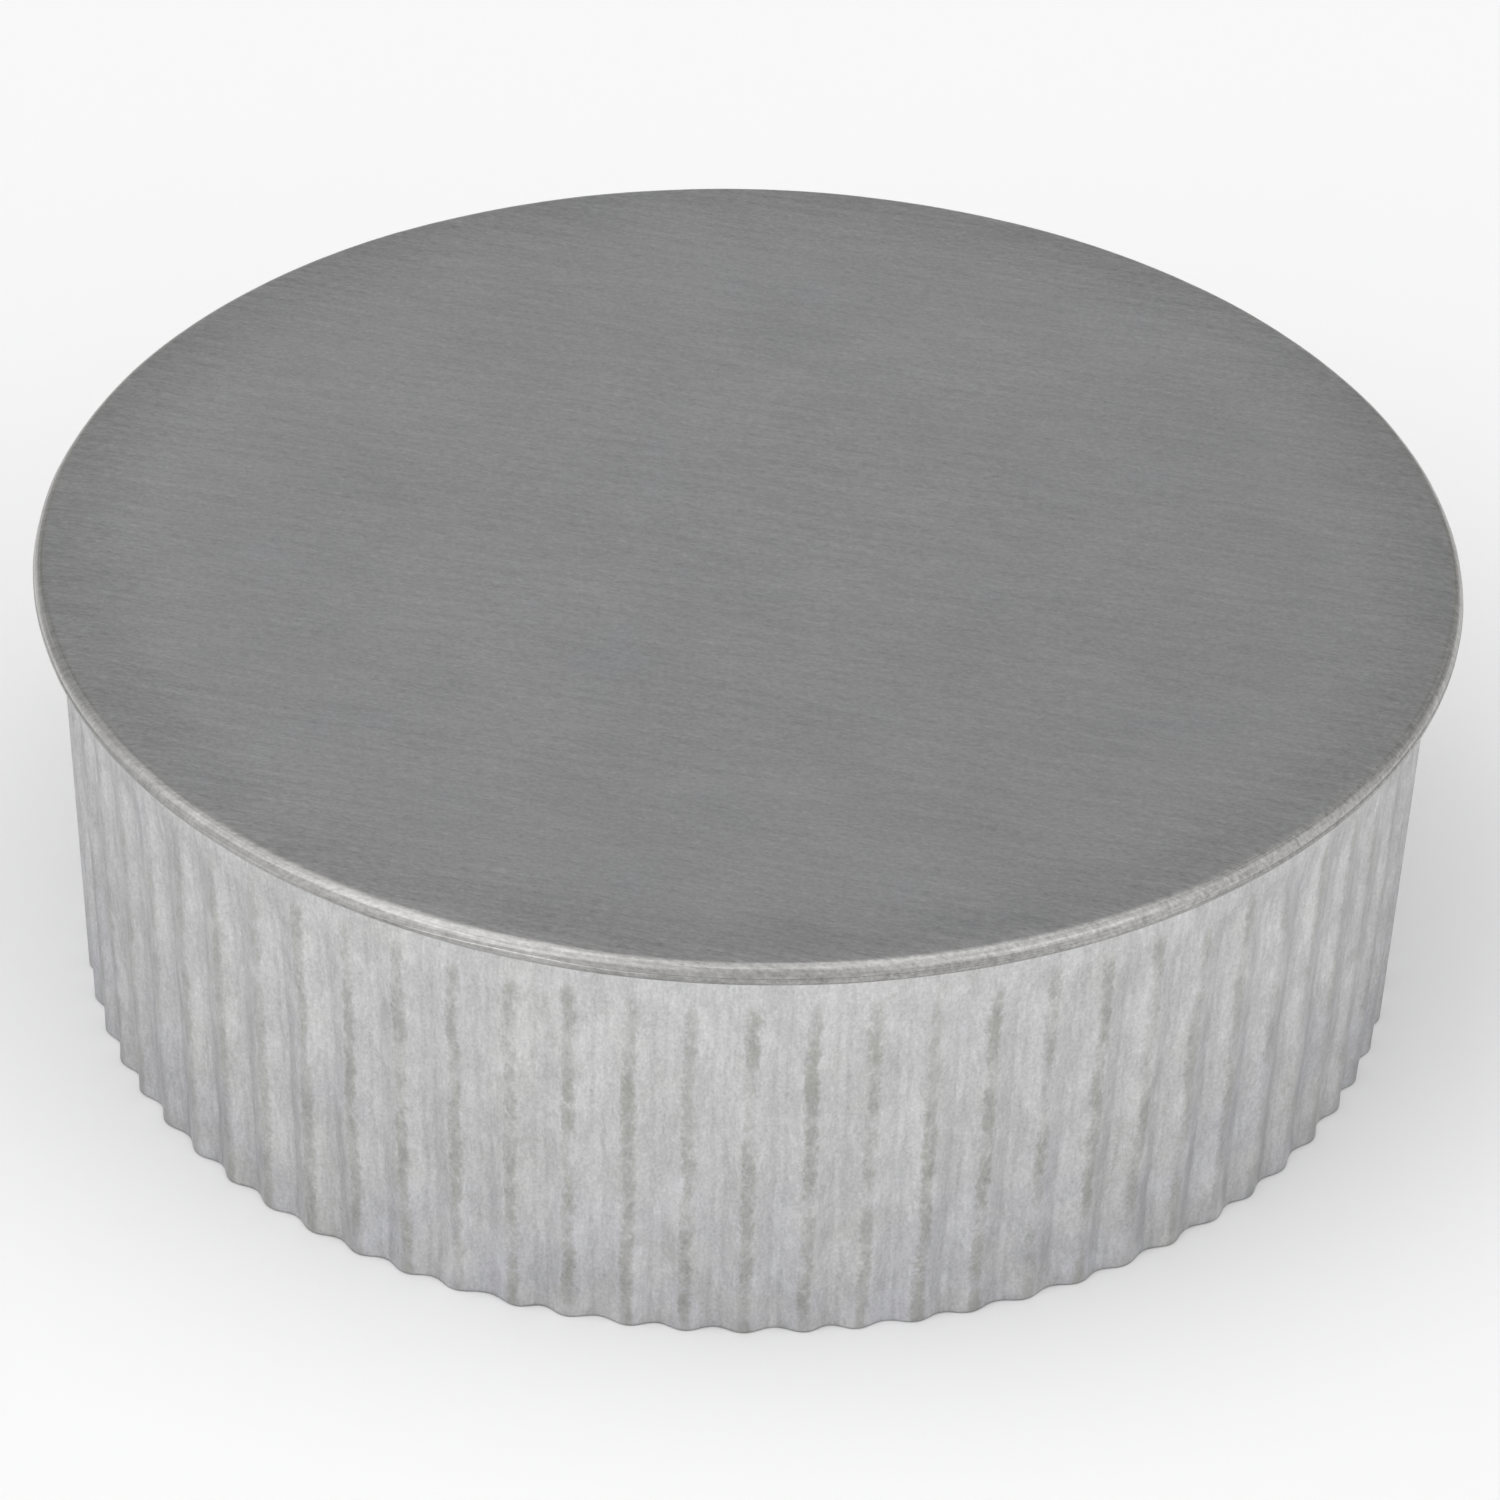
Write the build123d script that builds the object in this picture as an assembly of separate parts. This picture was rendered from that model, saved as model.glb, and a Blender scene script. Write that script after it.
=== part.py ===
from build123d import *
import os
from math import atan, cos, pi, radians, sin

# A round sheet-metal end cap for a 152.4 mm (6 in) duct, built from two pieces of galvanised
# steel. A flat disc closes the top, and its edge is folded down, round and under the flange
# of a collar, which locks the two together in a seam. The collar is a strip rolled into a ring,
# plain under the seam and crimped below that, so that it slips into the end of a duct.
# The origin is at the centre of the crimped edge that the cap stands on, and +Z runs up
# to the disc. Lengths are in millimetres and angles in degrees.

sheet = 0.6               # thickness of the steel in both pieces
cap_height = 52.0         # crimped edge to the disc's flat top

# seam
seam_radius = 79.0        # outermost radius of the folded seam
seam_height = 2.4         # thickness of the folded seam
disc_flat_radius = 74.4   # the disc is flat to here, then falls away gently
roll_off_radius = 77.55   # where the gentle fall turns into the tight bend
roll_off_drop = 0.12      # fall of the disc at that radius
bend_radius = 1.5         # outer radius of the tight bend
bend_start = 86           # direction of the bend's radius at its start, from level
bend_end = 10             # and at its end
crease_depth = 0.08       # groove in the fold's side, under the bend
crease_half_height = 0.10
lower_bead_radius = 0.65  # lower outer corner of the fold
fold_end_radius = 76.75   # inner end of the turned-under edge

# collar
collar_radius = 76.1      # plain band, 0.1 mm under the duct's bore all round
flange_radius = 78.05     # outer edge of the flange inside the fold
flange_bend = 0.65        # hollow radius between the plain band and the flange
plain_band_end = 6.0      # depth under the disc's top where the crimps begin to show

# crimps
crimp_count = 73
crimp_start_depth = 0.6   # crest to trough where the crimps have just come in
crimp_edge_depth = 1.0    # crest to trough at the open edge
crimp_in_depth = 12.0     # depth under the disc's top where they have come in
crimp_end_radius = 73.55  # crest radius at the open edge, where the collar is narrowest
first_crest = -88.5       # direction of one crest, measured from +X towards +Y

# lap where the rolled strip's ends overlap, at the back
lap_first_arc = 72        # counted in half crimps from first_crest
lap_arcs = 4              # width of the overlap, in half crimps
lap_groove_width = 0.25   # line left along the outer end of the strip
lap_groove_depth = 0.35

os.makedirs("parts", exist_ok=True)

quarter_crimp = 2 * pi / crimp_count / 4
seam_bottom = cap_height - seam_height
band_bottom = cap_height - plain_band_end
full_crimp_top = cap_height - crimp_in_depth
band_top = seam_bottom + sheet - flange_bend


def turned(outline):
    """Solid of revolution about Z of a closed outline drawn with X as radius and Y as height."""
    return revolve(Plane.XZ * make_face(outline), axis=Axis.Z)


def disc_plate():
    """Flat middle of the disc, out to where its edge begins to fall away."""
    top = cap_height
    return turned(Polyline((0, top), (disc_flat_radius, top), (disc_flat_radius, top - sheet),
                           (0, top - sheet), close=True))


def folded_edge():
    """Edge of the disc, which bends down, round and back under in one sheet."""
    top = cap_height
    roll_off_end = Vector(roll_off_radius, top - roll_off_drop)
    start = Vector(cos(radians(bend_start)), sin(radians(bend_start)))
    end = Vector(cos(radians(bend_end)), sin(radians(bend_end)))
    middle = (start + end).normalized()
    centre = roll_off_end - start * bend_radius
    inner_radius = bend_radius - sheet
    outer_end = centre + end * bend_radius
    inner_end = centre + end * inner_radius
    inner_start = centre + start * inner_radius
    crease = outer_end - Vector(crease_depth, crease_half_height)
    bead_top = outer_end - Vector(0, 2 * crease_half_height)
    bead_side = (seam_radius, seam_bottom + lower_bead_radius)
    bead_bottom = (seam_radius - lower_bead_radius, seam_bottom)
    fold_top = seam_bottom + sheet
    roll_off_middle = ((disc_flat_radius + roll_off_radius) / 2, top - roll_off_drop / 4)
    outline = [
        ThreePointArc((disc_flat_radius, top), roll_off_middle, roll_off_end),
        ThreePointArc(roll_off_end, centre + middle * bend_radius, outer_end),
        Line(outer_end, crease),
        Line(crease, bead_top),
        RadiusArc(bead_top, bead_side, 2 * lower_bead_radius),
        RadiusArc(bead_side, bead_bottom, lower_bead_radius),
        Line(bead_bottom, (fold_end_radius, seam_bottom)),
        Line((fold_end_radius, seam_bottom), (fold_end_radius, fold_top)),
        Line((fold_end_radius, fold_top), (inner_end.X, fold_top)),
        Line((inner_end.X, fold_top), inner_end),
        ThreePointArc(inner_end, centre + middle * inner_radius, inner_start),
        Line(inner_start, (disc_flat_radius, top - sheet)),
        Line((disc_flat_radius, top - sheet), (disc_flat_radius, top)),
    ]
    return turned(outline)


def flange():
    """Flange held in the fold, with the bend that turns down from it into the plain band."""
    flange_bottom = seam_bottom + sheet
    flange_top = flange_bottom + sheet
    inner_radius = collar_radius - sheet
    bend_centre_radius = collar_radius + flange_bend
    outline = [
        RadiusArc((collar_radius, band_top), (bend_centre_radius, flange_bottom), flange_bend),
        Line((bend_centre_radius, flange_bottom), (flange_radius, flange_bottom)),
        Line((flange_radius, flange_bottom), (flange_radius, flange_top)),
        Line((flange_radius, flange_top), (bend_centre_radius, flange_top)),
        RadiusArc((bend_centre_radius, flange_top), (inner_radius, band_top), -(flange_bend + sheet)),
        Line((inner_radius, band_top), (collar_radius, band_top)),
    ]
    return turned(outline)


def plain_band():
    """Round band under the flange, the collar's widest part."""
    inner_radius = collar_radius - sheet
    return turned(Polyline((inner_radius, band_bottom), (collar_radius, band_bottom),
                           (collar_radius, band_top), (inner_radius, band_top), close=True))


def crimp_at(z):
    """Crest radius and crimp depth at a height: narrower and deeper down to the open edge."""
    below_band = max(0.0, band_bottom - z)
    crest_radius = collar_radius - (collar_radius - crimp_end_radius) * below_band / band_bottom
    fade = min(1.0, below_band / (band_bottom - full_crimp_top))
    rise = min(1.0, z / full_crimp_top)
    depth = crimp_edge_depth + (crimp_start_depth - crimp_edge_depth) * rise
    return crest_radius, depth * fade * fade * (3 - 2 * fade)


def polar(radius, angle, z):
    return Vector(radius * cos(angle), radius * sin(angle), z)


def crimp_arcs(z, inset, first=0, count=2 * crimp_count):
    """Arcs along the crimped wall at one height, a crest and a trough in turn.

    inset is the distance into the sheet from its outer face, along the face's own normal.
    """
    crest_radius, depth = crimp_at(z)
    middle = crest_radius - depth / 2
    lean = 2 * atan(depth / 2 / (middle * quarter_crimp))
    arcs = []
    for k in range(first, first + count):
        peak = radians(first_crest) + 2 * k * quarter_crimp
        is_crest = k % 2 == 0
        peak_radius = crest_radius - inset if is_crest else crest_radius - depth - inset
        ends = []
        for side in (-1, 1):
            slope = lean * side if is_crest else -lean * side
            angle = peak + side * quarter_crimp
            outward = Vector(cos(angle + slope), sin(angle + slope), 0)
            ends.append(polar(middle, angle, z) - outward * inset)
        arcs.append(ThreePointArc(ends[0], polar(peak_radius, peak, z), ends[1]))
    return arcs


def crimped_tube(heights, ruled):
    """Stretch of the crimped wall through the given heights."""
    outside = Solid.make_loft([Wire(crimp_arcs(z, 0)) for z in heights], ruled)
    inside = Solid.make_loft([Wire(crimp_arcs(z, sheet)) for z in heights], ruled)
    return outside - inside


def fade_in_heights(steps=5):
    step = (full_crimp_top - band_bottom) / steps
    return [band_bottom + i * step for i in range(steps + 1)]


def lap_outline(z):
    """Section of the strip's inner end, from the middle of the wall to one sheet inside it."""
    outer = crimp_arcs(z, sheet / 2, lap_first_arc, lap_arcs)
    inner = crimp_arcs(z, 2 * sheet, lap_first_arc, lap_arcs)
    ends = [Line(outer[0] @ 0, inner[0] @ 0), Line(outer[-1] @ 1, inner[-1] @ 1)]
    return Wire(outer + inner + ends)


def lap_layer():
    """Inner end of the strip, which doubles the wall where the two ends overlap."""
    heights = [band_top] + fade_in_heights() + [0]
    return Solid.make_loft([lap_outline(z) for z in heights], True)


def lap_groove():
    """Fine groove down the outer face, along the outer end of the strip."""
    last_arc_before = lap_first_arc + lap_arcs - 2
    angle = first_crest + (last_arc_before + 0.5) * 360 / (2 * crimp_count)
    floor_at_top = collar_radius - lap_groove_depth
    floor_at_edge = crimp_end_radius - crimp_edge_depth / 2 - lap_groove_depth
    slope = (floor_at_top - floor_at_edge) / band_bottom
    outline = Polyline(
        (floor_at_top, band_top),
        (floor_at_top, band_bottom),
        (floor_at_edge - slope, -1),
        (seam_radius, -1),
        (seam_radius, band_top),
        close=True,
    )
    outward = polar(1, radians(angle), 0)
    across = polar(1, radians(angle - 90), 0)
    upright = Plane((0, 0, 0), x_dir=outward, z_dir=across)
    return extrude(upright * make_face(outline), lap_groove_width / 2, both=True)


def crimped_wall():
    """Rolled strip under the flange: the plain band, then the crimps down to the open edge."""
    wall = plain_band()
    wall += crimped_tube(fade_in_heights(), False)
    wall += crimped_tube([full_crimp_top, 0], True)
    wall += lap_layer()
    return wall - lap_groove()


# Each sheet is stored as two solids that meet face to face at a bend, the ring-shaped fold
# or flange and the rest, so that each of them keeps a simple shape.
end_disc = Compound(children=[disc_plate(), folded_edge()])
crimped_collar = Compound(children=[flange(), crimped_wall()])
export_step(end_disc, "parts/end_disc.step")
export_step(crimped_collar, "parts/crimped_collar.step")
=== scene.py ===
import math

import bpy
import numpy as np
from mathutils import Matrix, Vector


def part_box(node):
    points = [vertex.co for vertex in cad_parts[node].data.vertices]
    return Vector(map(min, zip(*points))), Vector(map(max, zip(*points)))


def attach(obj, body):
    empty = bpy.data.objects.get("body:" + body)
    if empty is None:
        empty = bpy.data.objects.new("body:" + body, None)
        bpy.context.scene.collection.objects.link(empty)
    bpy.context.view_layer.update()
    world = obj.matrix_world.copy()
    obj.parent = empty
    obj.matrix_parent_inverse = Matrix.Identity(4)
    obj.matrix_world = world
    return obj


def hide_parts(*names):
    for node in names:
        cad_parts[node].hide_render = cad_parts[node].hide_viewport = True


# Looks for the duct end cap: the two sheet-metal pieces as fine closed meshes that follow the
# CAD model's sections, with galvanised finishes, a pale floor, soft lights and the camera.
# Lengths are in metres, in the CAD frame: Z up, the open crimped edge in the plane z = 0.

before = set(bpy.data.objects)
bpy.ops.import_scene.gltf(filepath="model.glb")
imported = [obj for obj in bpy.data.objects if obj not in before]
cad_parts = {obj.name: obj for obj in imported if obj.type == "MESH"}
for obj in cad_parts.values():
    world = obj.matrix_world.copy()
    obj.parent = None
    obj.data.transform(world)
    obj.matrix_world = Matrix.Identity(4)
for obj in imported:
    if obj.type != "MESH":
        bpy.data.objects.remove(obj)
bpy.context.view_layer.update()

MM = 0.001
disc_low, disc_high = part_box("end_disc")
collar_low, collar_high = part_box("crimped_collar")

TOP = disc_high.z
SEAM_BOTTOM = disc_low.z
SEAM_RADIUS = (disc_high.x - disc_low.x) / 2
FLANGE_RADIUS = (collar_high.x - collar_low.x) / 2
FLANGE_TOP = collar_high.z
SHEET = 0.6 * MM
CUT_ROUND = 0.1 * MM              # rounding of the sheets' corners inside the seam

# disc
FLAT_RADIUS = SEAM_RADIUS - 4.6 * MM
ROLL_OFF_RADIUS = SEAM_RADIUS - 1.45 * MM
ROLL_OFF_DROP = 0.12 * MM
RIM_BEND = 1.5 * MM               # outer radius of the tight bend
RIM_BEND_START = 86               # direction of the bend's radius where the roll-off meets it
RIM_BEND_NEXT = 82                # at the mesh's next row round the bend
RIM_BEND_END = 12                 # and where the crease begins
BEAD = 0.65 * MM                  # lower outer corner of the fold
FOLD_UNDER = SEAM_RADIUS - 1.4 * MM    # a mesh row on the fold's flat underside
FOLD_END = SEAM_RADIUS - 2.25 * MM
FOLD_END_ROUND = 0.12 * MM
SAG = 0.10 * MM                   # how far the flat middle sinks
GRAIN_ANGLE = math.radians(-14)   # direction of the rolling grain across the disc
# section of the crease in mm: distance outside the bend's lip, and depth under the top
CREASE = (
    (0.01, 1.36), (-0.01, 1.39), (-0.06, 1.42), (-0.07, 1.45),
    (-0.04, 1.48), (0.02, 1.51), (0.05, 1.57), (0.07, 1.66),
)
# unevenness of the rolled rim: counts of the waves round it, and the size of their sum
EDGE_DIP = ((2, 3, 5, 7, 11, 17), 0.03 * MM)
RADIUS_WAVE = ((3, 4, 9, 14, 23, 37), 0.02 * MM)
DENTS = ((61, 83, 97, 131), 0.005 * MM)
CREASE_DRIFT = ((4, 6, 9, 13, 19, 26), 0.10 * MM)
WAVE_MARGIN = 0.03 * MM           # moves the waves in and down, close to the CAD model's size

# collar
COLLAR_RADIUS = FLANGE_RADIUS - 1.95 * MM
FLANGE_BEND = 0.65 * MM
BAND_TOP = SEAM_BOTTOM + SHEET - FLANGE_BEND
BAND_END = TOP - 6 * MM
FULL_CRIMP = TOP - 12 * MM
EDGE_RADIUS = 73.55 * MM
EDGE_ROUND = 0.13 * MM            # rounding of the open edge, across the sheet
EDGE_ROUND_HEIGHT = 0.16 * MM
CRIMPS = 73
START_DEPTH = 0.6 * MM
EDGE_DEPTH = 1.0 * MM
FIRST_CREST = math.radians(-88.5)
PITCH = 2 * math.pi / CRIMPS
FLANK = 0.10                      # makes the crimps' flanks a little steeper than a plain wave's
# wander of the crimps: its size and the lengths in mm of the waves that make it, up the wall
SIDEWAYS_DRIFT = (0.055, (7, 11, 19, 34))     # size in crimps
DEPTH_DRIFT = (0.16, (9, 15, 28, 47))         # size in depths

# lap of the rolled strip's ends
LAP_START = FIRST_CREST + 35.75 * PITCH
LAP_END = FIRST_CREST + 37.75 * PITCH
LAP_GROOVE = FIRST_CREST + 37.25 * PITCH
LAP_BLUR = 0.03 * MM / COLLAR_RADIUS    # half the width of the step at each of its edges
LAP_TAPER_START = 0.2 * MM        # the inner layer fades in between these depths under BAND_TOP
LAP_TAPER_END = 1.2 * MM
GROOVE_DEPTH = 0.3 * MM
GROOVE_FLOOR = 0.07 * MM          # half the width of the groove's flat floor
GROOVE_SIDE = 0.14 * MM           # half its whole width
WELD_HEIGHTS = (9 * MM, 26 * MM, 43 * MM)
WELD_DEPTH = 0.22 * MM
WELD_FLOOR = 0.9 * MM             # radius of a weld's flat floor
WELD_RADIUS = 2.2 * MM

# mesh
DISC_COLUMNS = 1024
ROLL_OFF_STEPS = 8
BEND_STEPS = 18
BEAD_STEPS = 12
INNER_BEND_STEPS = 9
COLUMNS_PER_CRIMP = 14
BAND_ROWS = 6
FADE_ROWS = 14
WALL_ROWS = 32
LAP_COLUMNS = (-0.06, -0.02, 0.02, 0.06)                      # mm from each of the lap's edges
GROOVE_COLUMNS = (-0.22, -0.13, -0.08, 0, 0.08, 0.13, 0.22)   # mm from the groove's middle
INNER_ROW_STEP = 3                # the wall's inside has every third row of its outside

# lamps: name, azimuth from the front, elevation, distance, size in metres and power in watts
LAMPS = (
    ("key", -45, 40, 1.2, 1.0, 1.3),
    ("fill", 50, 32, 1.2, 1.0, 1.0),
    ("top", 180, 84, 1.4, 1.3, 3.6),
)
# surroundings: direction of a glow, cosines of the angles from it where it begins and where it
# is full, and its brightness at each
BACK_GLOW = ((0.06, 0.838, 0.543), 0.10, 0.93, 0.72, 0.40)
LEFT_GLOW = ((-0.707, -0.230, 0.669), 0.64, 0.93, 0.0, 0.55)
RIGHT_GLOW = ((0.707, -0.230, 0.669), 0.64, 0.93, 0.0, 0.32)

# camera: lengths in millimetres, angles in degrees
SENSOR_WIDTH = 36
FOCAL_LENGTH = 224.4
CAMERA_DISTANCE = 13.08 * SEAM_RADIUS
CAMERA_ELEVATION = 33.18
CAMERA_ROLL = 1.75
CAMERA_PAN = -0.042
CAMERA_TILT = 1.217

random = np.random.RandomState(73)


# ---------------------------------------------------------------- geometry

def smoothstep(low, high, value):
    t = np.clip((value - low) / (high - low), 0, 1)
    return t * t * (3 - 2 * t)


def bell(low, high, value):
    """Rises smoothly from 0 at low to 1 halfway and falls back to 0 at high."""
    middle = (low + high) / 2
    return smoothstep(low, middle, value) * (1 - smoothstep(middle, high, value))


def waves(angle, counts, size):
    """Smooth irregular ripple round the ring, made of a few whole-number waves."""
    total = np.zeros_like(angle)
    for count in counts:
        total += np.sin(count * angle + random.uniform(0, 2 * math.pi)) / math.sqrt(len(counts))
    return total * size


def arc(centre, radius, start, end, steps):
    """Points of an arc in the (radius, height) plane, with angles in degrees."""
    turns = np.radians(np.linspace(start, end, steps + 1))
    return [(centre[0] + radius * math.cos(t), centre[1] + radius * math.sin(t)) for t in turns]


def grid_mesh(name, points, joined, capped):
    """Mesh over a grid of points (rows, columns, xyz) that closes round its columns.

    joined closes it from the last row to the first; capped closes the first and last rows with
    a point at their middle.
    """
    rows, columns = points.shape[:2]
    index = np.arange(rows * columns).reshape(rows, columns)
    below = np.roll(index, -1, axis=0) if joined else index[1:]
    above = index if joined else index[:-1]
    quads = np.stack([above, below, np.roll(below, -1, axis=1), np.roll(above, -1, axis=1)], -1)
    faces = [tuple(q) for q in quads.reshape(-1, 4).tolist()]
    vertices = points.reshape(-1, 3).tolist()
    if capped:
        for row, reverse in ((0, True), (rows - 1, False)):
            middle = len(vertices)
            vertices.append(points[row].mean(axis=0).tolist())
            ring = index[row].tolist()
            for a, b in zip(ring, ring[1:] + ring[:1]):
                faces.append((middle, a, b) if reverse else (middle, b, a))
    mesh = bpy.data.meshes.new(name)
    mesh.from_pydata(vertices, [], faces)
    mesh.validate()
    mesh.shade_smooth()
    piece = bpy.data.objects.new(name, mesh)
    bpy.context.scene.collection.objects.link(piece)
    return piece


def disc_profile():
    """Section of the disc and its folded edge, from the axis over the top and back under it."""
    start = math.radians(RIM_BEND_START)
    bend_centre = (
        ROLL_OFF_RADIUS - RIM_BEND * math.cos(start),
        TOP - ROLL_OFF_DROP - RIM_BEND * math.sin(start),
    )
    rings = (0.02, 0.1, 0.2, 0.3, 0.4, 0.5, 0.6, 0.7, 0.8, 0.88, 0.94, 0.98)
    top = [(r * FLAT_RADIUS, TOP) for r in rings]
    for step in range(ROLL_OFF_STEPS + 1):
        t = step / ROLL_OFF_STEPS
        radius = FLAT_RADIUS + (ROLL_OFF_RADIUS - FLAT_RADIUS) * t
        top.append((radius, TOP - ROLL_OFF_DROP * t * t))
    bend = arc(bend_centre, RIM_BEND, RIM_BEND_NEXT, RIM_BEND_END, BEND_STEPS)
    lip = bend_centre[0] + RIM_BEND * math.cos(math.radians(RIM_BEND_END))
    crease = [(lip + out * MM, TOP - depth * MM) for out, depth in CREASE]
    bead = arc((SEAM_RADIUS - BEAD, SEAM_BOTTOM + BEAD), BEAD, 4, -90, BEAD_STEPS)
    fold_top = SEAM_BOTTOM + SHEET
    inner_radius = RIM_BEND - SHEET
    inner = bend_centre[0] + inner_radius
    under = [
        (FOLD_UNDER, SEAM_BOTTOM),
        (FOLD_END + FOLD_END_ROUND, SEAM_BOTTOM),
        (FOLD_END + FOLD_END_ROUND / 4, SEAM_BOTTOM + FOLD_END_ROUND / 4),
        (FOLD_END, SEAM_BOTTOM + FOLD_END_ROUND),
        (FOLD_END, fold_top - CUT_ROUND),
        (FOLD_END + CUT_ROUND, fold_top),
        (inner - CUT_ROUND, fold_top),
        (inner, fold_top + CUT_ROUND),
    ]
    inner_bend = arc(bend_centre, inner_radius, 2, RIM_BEND_START, INNER_BEND_STEPS)
    lower_rings = (1.0, 0.95, 0.8, 0.6, 0.4, 0.2, 0.02)
    lower = [(r * FLAT_RADIUS, TOP - SHEET) for r in lower_rings]
    return np.array(top + bend + crease + bead + under + inner_bend + lower)


def end_disc():
    """Disc sheet with its edge bent down, round and back under, slightly uneven as rolled."""
    profile = disc_profile()
    angle = np.linspace(0, 2 * math.pi, DISC_COLUMNS, endpoint=False)
    radius = np.repeat(profile[:, 0:1], len(angle), axis=1)
    height = np.repeat(profile[:, 1:2], len(angle), axis=1)
    outside = smoothstep(SEAM_RADIUS - 1.6 * MM, SEAM_RADIUS - 0.6 * MM, radius)
    near_edge = smoothstep(FLAT_RADIUS - 3 * MM, ROLL_OFF_RADIUS, radius)
    edge_dip = waves(angle, *EDGE_DIP)
    radius_wave = waves(angle, *RADIUS_WAVE)
    dents = waves(angle, *DENTS)
    crease_drift = waves(angle, *CREASE_DRIFT)
    crease_zone = bell(TOP - 2.1 * MM, TOP - 0.5 * MM, height) * outside
    upper = smoothstep(SEAM_BOTTOM + 0.4 * MM, TOP - 0.5 * MM, height)
    height = height + near_edge * upper * (edge_dip - WAVE_MARGIN) + crease_zone * crease_drift
    radius = radius + near_edge * (radius_wave + dents - WAVE_MARGIN)
    inward = 1 - smoothstep(0.2 * FLAT_RADIUS, FLAT_RADIUS, radius)
    in_plate = height > TOP - 1.1 * SHEET
    height = height - SAG * inward * in_plate
    points = np.stack([radius * np.cos(angle), radius * np.sin(angle), height], -1)
    return grid_mesh("end_disc_sheet", points, False, True)


def collar_angles():
    """Directions round the collar: even steps, with more beside the lap's edges and groove."""
    even = np.linspace(0, 2 * math.pi, CRIMPS * COLUMNS_PER_CRIMP, endpoint=False)
    fine = [LAP_START + d * MM / COLLAR_RADIUS for d in LAP_COLUMNS]
    fine += [LAP_END + d * MM / COLLAR_RADIUS for d in LAP_COLUMNS]
    fine += [LAP_GROOVE + d * MM / COLLAR_RADIUS for d in GROOVE_COLUMNS]
    fine = np.mod(fine, 2 * math.pi)
    far = np.abs(even[:, None] - fine[None, :]).min(axis=1) > 0.1 * MM / COLLAR_RADIUS
    return np.sort(np.concatenate([even[far], fine]))


def crimp_drift(angle, height):
    """How far the crimps wander sideways and how much deeper they are, at a grid of places."""
    position = np.mod((angle - FIRST_CREST) / PITCH, CRIMPS)
    low = np.floor(position).astype(int) % CRIMPS
    high = (low + 1) % CRIMPS
    blend = smoothstep(0, 1, position - np.floor(position))
    results = []
    for size, lengths in (SIDEWAYS_DRIFT, DEPTH_DRIFT):
        each = np.zeros((len(height), CRIMPS))
        for length in lengths:
            phase = random.uniform(0, 2 * math.pi, CRIMPS)
            share = random.uniform(0.4, 1, CRIMPS)
            each += np.sin(2 * math.pi * height[:, None] / (length * MM) + phase) * share
        each *= size / math.sqrt(len(lengths))
        results.append(each[:, low] * (1 - blend) + each[:, high] * blend)
    return results


def collar_wall(angle, height):
    """Radius of the wall's outer face at each height and direction."""
    below = np.clip(BAND_END - height, 0, None)
    crest = COLLAR_RADIUS - (COLLAR_RADIUS - EDGE_RADIUS) * below / BAND_END
    fade = smoothstep(0, BAND_END - FULL_CRIMP, below)
    sideways, deeper = crimp_drift(angle, height)
    phase = (angle[None, :] - FIRST_CREST) * CRIMPS + sideways * 2 * math.pi
    trough = 0.5 - 0.5 * np.cos(phase)
    trough = trough + FLANK * trough * (1 - trough) * (2 * trough - 1)
    rise = np.clip(height / FULL_CRIMP, 0, 1)
    depth = (EDGE_DEPTH + (START_DEPTH - EDGE_DEPTH) * rise) * fade
    return crest[:, None] - depth[:, None] * (1 + deeper) * trough


def wall_normals(angle, outer):
    """Parts along X and Y of the outer face's level normal."""
    round_again = np.concatenate([angle[-1:] - 2 * math.pi, angle, angle[:1] + 2 * math.pi])
    step = np.gradient(round_again)[1:-1]
    slope = (np.roll(outer, -1, axis=1) - np.roll(outer, 1, axis=1)) / (2 * step * outer)
    lean = np.arctan(slope)
    return np.cos(angle - lean), np.sin(angle - lean)


def lap_share(angle):
    """1 within the lap, where the wall is double, and 0 elsewhere."""
    begun = smoothstep(LAP_START - LAP_BLUR, LAP_START + LAP_BLUR, angle)
    return begun * (1 - smoothstep(LAP_END - LAP_BLUR, LAP_END + LAP_BLUR, angle))


def lap_marks(angle, levels):
    """Depths of the groove along the lap, and of the spot welds beside it at each level."""
    groove_distance = np.abs(angle - LAP_GROOVE) * COLLAR_RADIUS
    groove = GROOVE_DEPTH * (1 - smoothstep(GROOVE_FLOOR, GROOVE_SIDE, groove_distance))
    across = (angle - (LAP_GROOVE - 0.5 * PITCH)) * COLLAR_RADIUS
    welds = np.zeros((len(levels), len(angle)))
    for z in WELD_HEIGHTS:
        distance = np.hypot(across[None, :], (levels - z)[:, None])
        welds += WELD_DEPTH * (1 - smoothstep(WELD_FLOOR, WELD_RADIUS, distance))
    return groove, welds


def flange_section():
    """Section of the flange and its bend, from the wall's inside out and back to its outside."""
    centre = (COLLAR_RADIUS + FLANGE_BEND, BAND_TOP)
    section = arc(centre, FLANGE_BEND + SHEET, 180, 90, 8)[1:]
    section += [
        (FLANGE_RADIUS - CUT_ROUND, FLANGE_TOP),
        (FLANGE_RADIUS, FLANGE_TOP - CUT_ROUND),
        (FLANGE_RADIUS, FLANGE_TOP - SHEET + CUT_ROUND),
        (FLANGE_RADIUS - CUT_ROUND, FLANGE_TOP - SHEET),
    ]
    return section + arc(centre, FLANGE_BEND, 90, 180, 6)[:-1]


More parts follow.
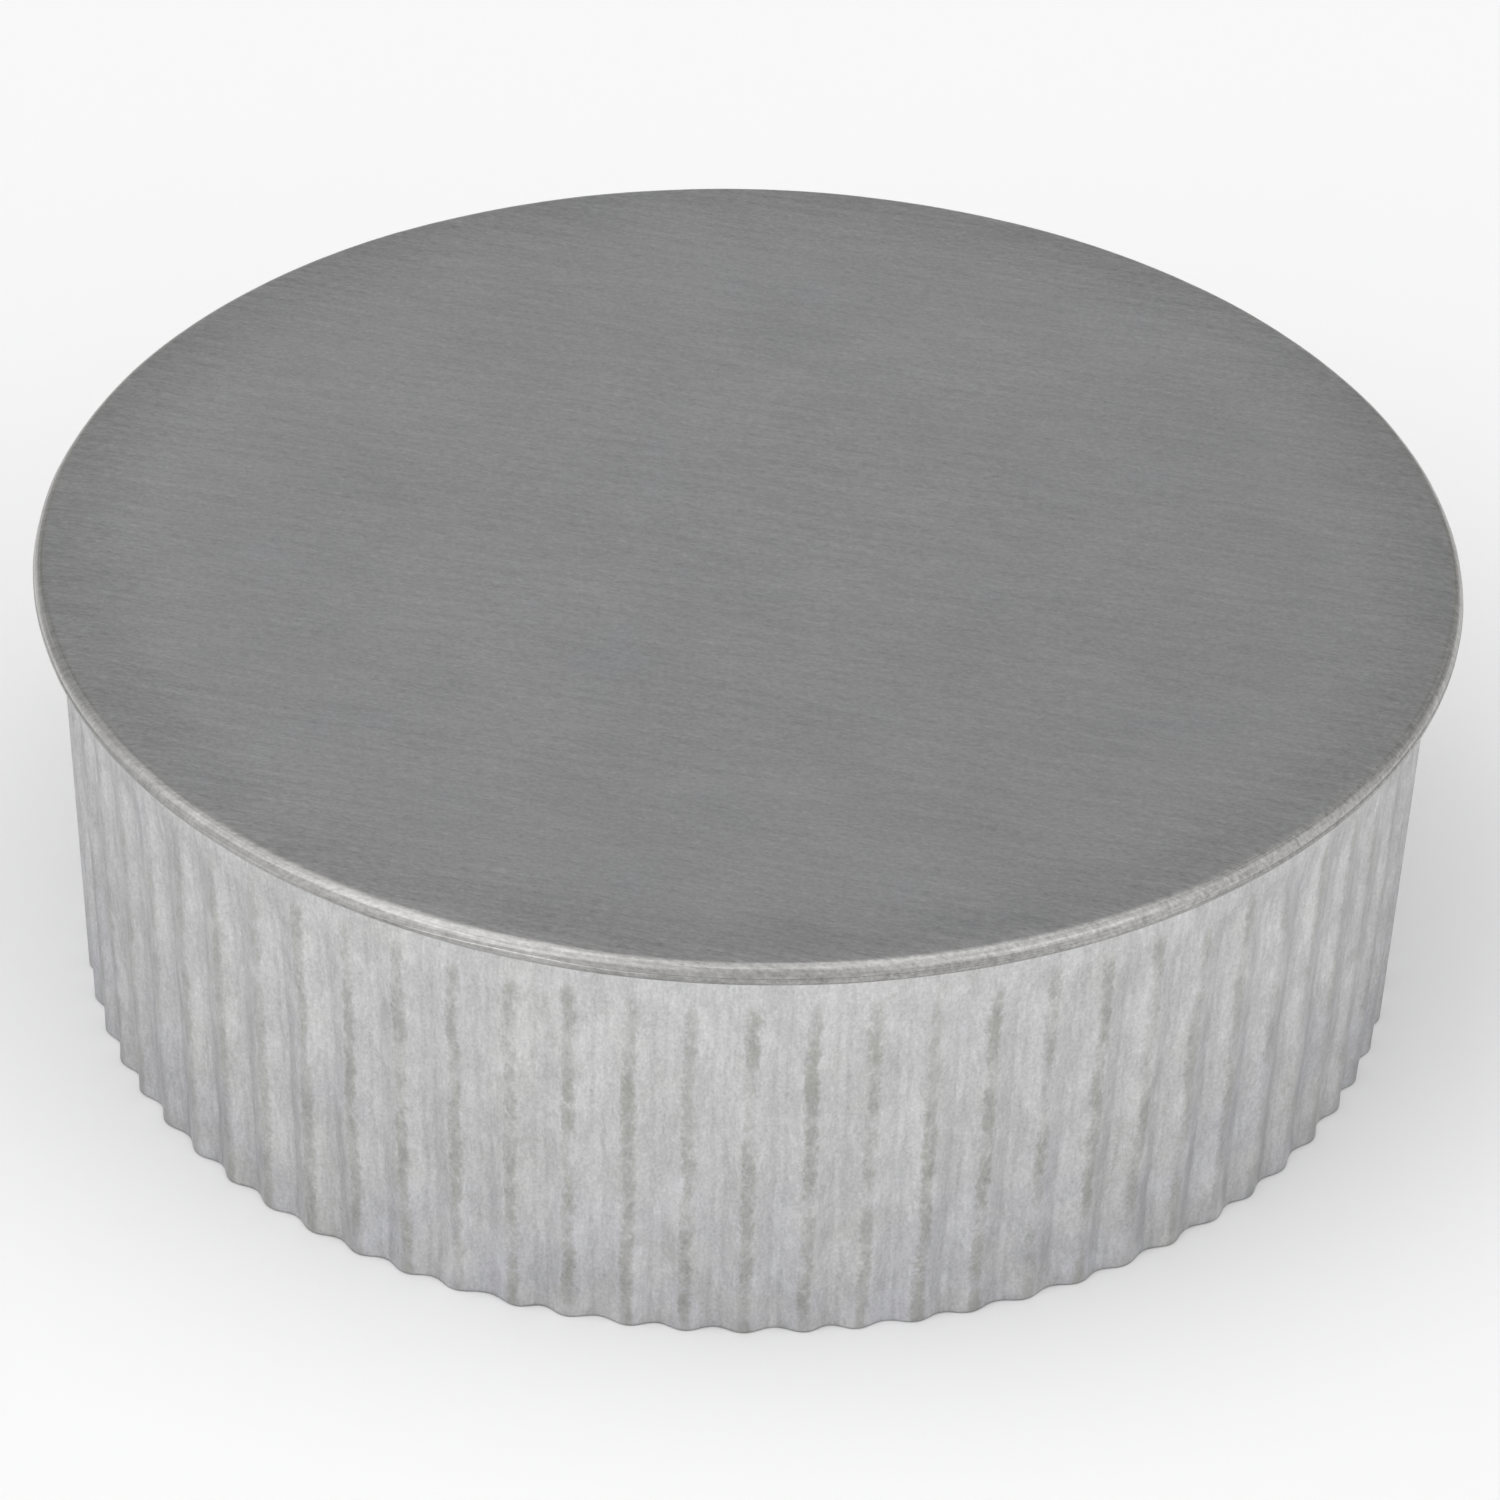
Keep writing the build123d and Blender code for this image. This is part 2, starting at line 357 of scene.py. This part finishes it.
def crimped_collar():
    """Rolled strip with its flange, plain band and crimps, doubled where its ends overlap."""
    angle = collar_angles()
    levels = np.concatenate([
        np.linspace(BAND_TOP, BAND_END, BAND_ROWS),
        np.linspace(BAND_END, FULL_CRIMP, FADE_ROWS)[1:],
        np.linspace(FULL_CRIMP, EDGE_ROUND_HEIGHT, WALL_ROWS)[1:],
    ])
    outer = collar_wall(angle, levels)
    normal_x, normal_y = wall_normals(angle, outer)
    lap = lap_share(angle)
    groove, welds = lap_marks(angle, levels)
    thickness = SHEET * (1 + lap)
    last = len(levels) - 1

    def ring(x, y, z):
        return np.stack([x, y, np.full(len(angle), z)], -1)

    def skin(row, inset, z):
        """One ring of the wall's skin, inset from the outer face along its normal."""
        x = outer[row] * np.cos(angle) - inset * normal_x[row]
        y = outer[row] * np.sin(angle) - inset * normal_y[row]
        return ring(x, y, z)

    def rounding(degrees):
        """Inset and height of a place on the open edge's rounding."""
        turn = math.radians(degrees)
        return EDGE_ROUND * (1 - math.cos(turn)), EDGE_ROUND_HEIGHT * (1 - math.sin(turn))

    rows = [skin(row, groove + welds[row], z) for row, z in enumerate(levels)]
    for degrees in (30, 60, 90):
        inset, z = rounding(degrees)
        rows.append(skin(last, groove + inset, z))
    for degrees in (90, 60, 30):
        inset, z = rounding(degrees)
        rows.append(skin(last, thickness - inset, z))
    for row in range(last, -1, -INNER_ROW_STEP):
        doubled = smoothstep(LAP_TAPER_START, LAP_TAPER_END, BAND_TOP - levels[row])
        rows.append(skin(row, SHEET * (1 + lap * doubled), levels[row]))
    for radius, z in flange_section():
        rows.append(ring(radius * np.cos(angle), radius * np.sin(angle), z))
    return grid_mesh("crimped_collar_sheet", np.array(rows), True, False)


# ---------------------------------------------------------------- materials

class Nodes:
    """Small helper to build a material's node tree."""

    def __init__(self, name):
        self.material = bpy.data.materials.new(name)
        self.material.use_nodes = True
        self.tree = self.material.node_tree
        self.shader = self.tree.nodes["Principled BSDF"]

    def add(self, kind, **settings):
        node = self.tree.nodes.new(kind)
        for key, value in settings.items():
            setattr(node, key, value)
        return node

    def link(self, source, target):
        self.tree.links.new(source, target)

    def math(self, operation, *values):
        node = self.add("ShaderNodeMath", operation=operation)
        for socket, value in zip(node.inputs, values):
            if isinstance(value, (int, float)):
                socket.default_value = value
            else:
                self.link(value, socket)
        return node.outputs[0]

    def total(self, first, *others):
        for other in others:
            first = self.math("ADD", first, other)
        return first

    def product(self, first, *others):
        for other in others:
            first = self.math("MULTIPLY", first, other)
        return first

    def swing(self, noise, size):
        """A noise moved to lie about 0, with this size from its lowest to its highest."""
        return self.product(self.math("SUBTRACT", noise, 0.5), size)

    def coordinates(self):
        """The place on the object, whole and as its three parts."""
        place = self.add("ShaderNodeTexCoord").outputs["Object"]
        split = self.add("ShaderNodeSeparateXYZ")
        self.link(place, split.inputs[0])
        return place, *split.outputs

    def mapped(self, vector, scale, rotation=(0, 0, 0), location=(0, 0, 0)):
        node = self.add("ShaderNodeMapping")
        node.inputs["Scale"].default_value = scale
        node.inputs["Rotation"].default_value = rotation
        node.inputs["Location"].default_value = location
        self.link(vector, node.inputs["Vector"])
        return node.outputs[0]

    def noise(self, vector, detail, roughness=0.5, scale=1.0, distortion=0.0):
        node = self.add("ShaderNodeTexNoise")
        node.inputs["Scale"].default_value = scale
        node.inputs["Detail"].default_value = detail
        node.inputs["Roughness"].default_value = roughness
        node.inputs["Distortion"].default_value = distortion
        self.link(vector, node.inputs["Vector"])
        return node.outputs["Fac"]

    def remap(self, value, low, high, to_low=0.0, to_high=1.0, kind="SMOOTHSTEP"):
        node = self.add("ShaderNodeMapRange", interpolation_type=kind)
        node.inputs["From Min"].default_value = low
        node.inputs["From Max"].default_value = high
        node.inputs["To Min"].default_value = to_low
        node.inputs["To Max"].default_value = to_high
        self.link(value, node.inputs["Value"])
        return node.outputs["Result"]

    def mix(self, factor, a, b):
        node = self.add("ShaderNodeMix", data_type="RGBA", blend_type="MIX")
        for name, value in (("Factor_Float", factor), ("A_Color", a), ("B_Color", b)):
            socket = next(s for s in node.inputs if s.identifier == name)
            if isinstance(value, tuple):
                socket.default_value = (*value, 1)
            else:
                self.link(value, socket)
        return next(s for s in node.outputs if s.identifier == "Result_Color")

    def scaled(self, colour, factor):
        """A colour times a grey factor."""
        node = self.add("ShaderNodeVectorMath", operation="SCALE")
        self.link(colour, node.inputs[0])
        self.link(factor, node.inputs["Scale"])
        return node.outputs[0]

    def bump(self, height, distance, strength):
        node = self.add("ShaderNodeBump")
        node.inputs["Strength"].default_value = strength
        node.inputs["Distance"].default_value = distance
        self.link(height, node.inputs["Height"])
        return node.outputs["Normal"]


def rim_tone(n, place, x, y, z, radius):
    """Tone of the folded rim: fine lines along it, a mottle, and painted shade that darkens the
    lower bead under the bend.
    """
    along = n.add("ShaderNodeCombineXYZ")
    n.link(x, along.inputs["X"])
    n.link(y, along.inputs["Y"])
    n.link(n.math("SUBTRACT", radius, z), along.inputs["Z"])
    rolled = n.noise(n.mapped(along.outputs[0], (34, 34, 2500)), detail=1.5)
    mottle = n.noise(n.mapped(place, (1500, 1500, 2000)), detail=4, roughness=0.75)
    scuffed = n.remap(x, -40 * MM, 30 * MM, 0.35, 1.15)
    mottle = n.product(n.remap(mottle, 0.32, 0.62, -0.13, 0.11), scuffed)
    # painted shade on the lower bead, which faces down under the bend; the whole rim is also a
    # little darker
    rim_level_and_bead_shade = n.remap(z, TOP - 1.65 * MM, TOP - 1.35 * MM, 0.75, 0.88)
    lines = n.remap(rolled, 0.36, 0.62, 0.88, 1.10)
    return n.product(n.total(mottle, 1.0), rim_level_and_bead_shade, lines)


def disc_steel():
    """Galvanised sheet with a fine straight rolling grain and faint cloudy patches."""
    plain_zinc = (0.536, 0.536, 0.535)
    bluish_zinc = (0.530, 0.532, 0.544)
    rim_zinc = (0.543, 0.538, 0.528)
    n = Nodes("disc_steel")
    place, x, y, z = n.coordinates()
    radius = n.math("SQRT", n.total(n.product(x, x), n.product(y, y)))

    turned = n.mapped(place, (1, 1, 1), rotation=(0, 0, -GRAIN_ANGLE))
    grain = n.noise(n.mapped(turned, (820, 3700, 1500)), detail=3, roughness=0.75)
    coarse = n.noise(n.mapped(turned, (110, 1100, 400)), detail=2)
    speck = n.noise(n.mapped(place, (2400, 2400, 2400)), detail=2, roughness=0.6)
    cloud = n.noise(place, scale=55, detail=4, roughness=0.6)
    tint = n.noise(n.mapped(place, (70, 70, 70), location=(3, 7, 1)), detail=4, roughness=0.6)

    # grain, stronger near the edge, with clouds and specks
    near_edge = n.remap(radius, 62 * MM, SEAM_RADIUS - 1.2 * MM)
    lines = n.total(n.product(grain, 0.70), n.product(coarse, 0.30))
    line_tone = n.swing(lines, n.total(n.product(near_edge, 0.45), 0.86))
    tone = n.total(line_tone, n.swing(cloud, 0.12), n.swing(speck, 0.34), 1.0)
    # painted shade: slightly darker towards one side, where less light falls; also slightly darker
    # towards the edge
    across = n.math("SUBTRACT", n.product(x, 0.8), n.product(y, 0.6))
    tone = n.product(tone, n.remap(across, -20 * MM, 65 * MM, 1.0, 0.93))
    tone = n.product(tone, n.remap(radius, 66 * MM, ROLL_OFF_RADIUS, 1.0, 0.89))

    # the rim has a finish of its own
    in_rim = n.remap(radius, ROLL_OFF_RADIUS - 0.1 * MM, ROLL_OFF_RADIUS + 0.4 * MM)
    rim = n.math("SUBTRACT", rim_tone(n, place, x, y, z, radius), 1.0)
    tone = n.product(tone, n.total(n.product(rim, in_rim), 1.0))
    zinc = n.mix(n.remap(tint, 0.48, 0.72), plain_zinc, bluish_zinc)
    zinc = n.mix(in_rim, zinc, rim_zinc)
    n.link(n.scaled(zinc, tone), n.shader.inputs["Base Color"])

    rough = n.total(n.product(grain, 0.10), n.product(cloud, 0.06), 0.26)
    n.link(rough, n.shader.inputs["Roughness"])
    height = n.total(lines, n.product(speck, 0.3))
    n.link(n.bump(height, 0.02 * MM, 0.35), n.shader.inputs["Normal"])
    n.shader.inputs["Metallic"].default_value = 1.0
    return n.material


def crest_streaks(n, place, x, crest, below):
    """Dull streaks down the crests, ragged and blotchy, and fainter at the cap's sides."""
    blotch = n.noise(n.mapped(place, (230, 230, 150), location=(8, 3, 5)), detail=4, roughness=0.65)
    rag = n.noise(n.mapped(place, (1500, 1500, 1100)), detail=3, roughness=0.7)
    width = n.total(crest, n.swing(rag, 1.1), n.swing(blotch, 0.5))
    sides = n.remap(n.math("ABSOLUTE", x), 30 * MM, 66 * MM, 1.0, 0.55)
    dulled = n.remap(blotch, 0.32, 0.64, 0.32, 1.05)
    return n.product(n.remap(width, 0.60, 1.06), dulled, below, sides)


def trough_shade(n, turn, crest, mottle, below):
    """Faint dark lines at both sides of each trough's middle."""
    beside = n.remap(n.math("COSINE", n.product(turn, 2.0)), 0.95, 0.45)
    shade = n.product(n.remap(crest, -0.40, -0.85), beside, n.remap(mottle, 0.35, 0.60), below)
    return n.product(shade, 0.11)


def collar_steel():
    """Galvanised sheet, cloudy and fibrous, with the crests rubbed dull by the crimping rolls."""
    plain_zinc = (0.589, 0.588, 0.586)
    bluish_zinc = (0.580, 0.581, 0.604)
    rubbed_zinc = (0.372, 0.370, 0.350)
    cut_edge_and_shadow_grey = (0.30, 0.30, 0.30)
    n = Nodes("collar_steel")
    place, x, y, z = n.coordinates()

    fibre = n.noise(n.mapped(place, (3400, 3400, 600)), detail=3, roughness=0.65)
    grain = n.noise(n.mapped(place, (3000, 3000, 2300)), detail=3, roughness=0.75)
    mottle = n.noise(n.mapped(place, (520, 520, 300)), detail=4, roughness=0.65, distortion=0.4)
    cloud = n.noise(n.mapped(place, (120, 120, 80)), detail=4, roughness=0.55)
    patch = n.noise(n.mapped(place, (330, 330, 130), location=(2, 9, 4)), detail=5, roughness=0.7)
    blue = n.noise(n.mapped(place, (110, 110, 90), location=(5, 2, 9)), detail=4, roughness=0.6)

    # turn runs through a full circle at each crimp, and wanders a little
    wander = n.noise(n.mapped(place, (60, 60, 110), location=(1, 4, 2)), detail=2)
    turn = n.product(n.math("SUBTRACT", n.math("ARCTAN2", y, x), FIRST_CREST), float(CRIMPS))
    turn = n.total(turn, n.swing(wander, 1.2))
    crest = n.math("COSINE", turn)
    below = n.remap(z, BAND_END + 0.5 * MM, BAND_END - 2.5 * MM)
    streak = crest_streaks(n, place, x, crest, below)

    tone = n.total(n.swing(fibre, 0.34), n.swing(grain, 0.64), n.swing(mottle, 0.40))
    tone = n.total(tone, n.swing(cloud, 0.26), n.remap(patch, 0.44, 0.60, -0.05, 0.05), 1.0)
    tone = n.math("SUBTRACT", tone, trough_shade(n, turn, crest, mottle, below))
    # painted shade: the wall darkens towards the floor and lightens towards the plain band
    tone = n.product(tone, n.remap(z, 0.0, BAND_END, 0.95, 1.05, kind="LINEAR"))

    low_down = n.remap(z, 4 * MM, 26 * MM, 1.0, 0.35)
    zinc = n.mix(n.product(n.remap(blue, 0.40, 0.62), low_down), plain_zinc, bluish_zinc)
    zinc = n.mix(n.product(streak, 0.78), zinc, rubbed_zinc)
    # dark band along the open edge: the cut edge's bare steel, and painted shadow where the edge
    # meets the floor
    edge_and_contact_shadow = n.remap(z, 0.35 * MM, 0.05 * MM)
    zinc = n.mix(n.product(edge_and_contact_shadow, 0.6), zinc, cut_edge_and_shadow_grey)
    n.link(n.scaled(zinc, tone), n.shader.inputs["Base Color"])

    rough = n.total(n.product(mottle, 0.12), n.product(fibre, 0.10), 0.36)
    n.link(rough, n.shader.inputs["Roughness"])
    height = n.total(n.product(fibre, 0.6), n.product(mottle, 0.8), n.product(grain, 0.4))
    n.link(n.bump(height, 0.05 * MM, 0.4), n.shader.inputs["Normal"])
    n.shader.inputs["Metallic"].default_value = 1.0
    n.shader.inputs["Specular Tint"].default_value = (0.75, 0.75, 0.76, 1)
    return n.material


# ---------------------------------------------------------------- stage, light and camera

def floor():
    """Large pale floor, just under the cap."""
    half = 4.0
    corners = [(-half, -half, 0), (half, -half, 0), (half, half, 0), (-half, half, 0)]
    mesh = bpy.data.meshes.new("floor")
    mesh.from_pydata(corners, [], [(0, 1, 2, 3)])
    piece = bpy.data.objects.new("floor", mesh)
    bpy.context.scene.collection.objects.link(piece)
    piece.location.z = -0.05 * MM
    n = Nodes("pale_floor")
    n.shader.inputs["Base Color"].default_value = (0.93, 0.93, 0.93, 1)
    n.shader.inputs["Roughness"].default_value = 0.9
    n.shader.inputs["Specular IOR Level"].default_value = 0.1
    mesh.materials.append(n.material)


def set_axes(thing, right, up, back, place):
    """Puts a lamp or the camera at a place, with its own X, Y and Z in these directions."""
    matrix = Matrix.Identity(4)
    for row in range(3):
        matrix[row] = (right[row], up[row], back[row], place[row])
    thing.matrix_world = matrix


def area_light(name, azimuth, elevation, distance, size, power):
    """Soft round light that faces the cap from a direction (azimuth from the front, elevation)."""
    data = bpy.data.lights.new(name, "AREA")
    data.shape = "DISK"
    data.size = size
    data.energy = power
    light = bpy.data.objects.new(name, data)
    bpy.context.scene.collection.objects.link(light)
    level = math.cos(math.radians(elevation))
    back = np.array([
        math.sin(math.radians(azimuth)) * level,
        -math.cos(math.radians(azimuth)) * level,
        math.sin(math.radians(elevation)),
    ])
    right = np.cross([0, 0, 1], back)
    right = right / np.linalg.norm(right)
    set_axes(light, right, np.cross(back, right), back, back * distance)


def surroundings():
    """Soft white surroundings, dimmer behind the cap and brighter above its front sides."""
    world = bpy.data.worlds.new("studio")
    bpy.context.scene.world = world
    world.use_nodes = True
    tree = world.node_tree
    background = tree.nodes["Background"]
    background.inputs["Color"].default_value = (1, 1, 1, 1)
    place = tree.nodes.new("ShaderNodeTexCoord")

    def glow(direction, low, high, to_low, to_high):
        """Brightness that changes smoothly with the angle from a direction."""
        towards = tree.nodes.new("ShaderNodeVectorMath")
        towards.operation = "DOT_PRODUCT"
        towards.inputs[1].default_value = direction
        level = tree.nodes.new("ShaderNodeMapRange")
        level.interpolation_type = "SMOOTHSTEP"
        level.inputs["From Min"].default_value = low
        level.inputs["From Max"].default_value = high
        level.inputs["To Min"].default_value = to_low
        level.inputs["To Max"].default_value = to_high
        tree.links.new(place.outputs["Generated"], towards.inputs[0])
        tree.links.new(towards.outputs["Value"], level.inputs["Value"])
        return level.outputs["Result"]

    def total(a, b):
        node = tree.nodes.new("ShaderNodeMath")
        tree.links.new(a, node.inputs[0])
        tree.links.new(b, node.inputs[1])
        return node.outputs[0]

    sides = total(glow(*LEFT_GLOW), glow(*RIGHT_GLOW))
    tree.links.new(total(glow(*BACK_GLOW), sides), background.inputs["Strength"])


def rotation(axis, degrees):
    """Matrix of a turn about the X, Y or Z axis, given as 0, 1 or 2."""
    turn = math.radians(degrees)
    a = (axis + 1) % 3
    b = (axis + 2) % 3
    matrix = np.eye(3)
    matrix[a, a] = math.cos(turn)
    matrix[a, b] = -math.sin(turn)
    matrix[b, a] = math.sin(turn)
    matrix[b, b] = math.cos(turn)
    return matrix


def camera():
    """Camera at the viewing angle: a long lens from the front, looking down at the disc."""
    data = bpy.data.cameras.new("camera")
    data.sensor_width = SENSOR_WIDTH
    data.lens = FOCAL_LENGTH
    data.clip_end = 20
    cam = bpy.data.objects.new("camera", data)
    bpy.context.scene.collection.objects.link(cam)
    elevation = math.radians(CAMERA_ELEVATION)
    back = np.array([0, -math.cos(elevation), math.sin(elevation)])
    right = np.array([1.0, 0, 0])
    down = np.cross(right, back)
    turned = rotation(2, CAMERA_ROLL) @ rotation(0, CAMERA_TILT) @ rotation(1, CAMERA_PAN)
    right, down, forward = turned @ np.array([right, down, -back])
    set_axes(cam, right, -down, -forward, back * CAMERA_DISTANCE + np.array([0, 0, TOP]))
    bpy.context.scene.camera = cam


disc = end_disc()
disc.data.materials.append(disc_steel())
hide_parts("end_disc")
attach(disc, "root")

collar = crimped_collar()
collar.data.materials.append(collar_steel())
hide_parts("crimped_collar")
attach(collar, "root")

floor()
for lamp in LAMPS:
    area_light(*lamp)
surroundings()
camera()
bpy.context.scene.view_settings.view_transform = "Standard"
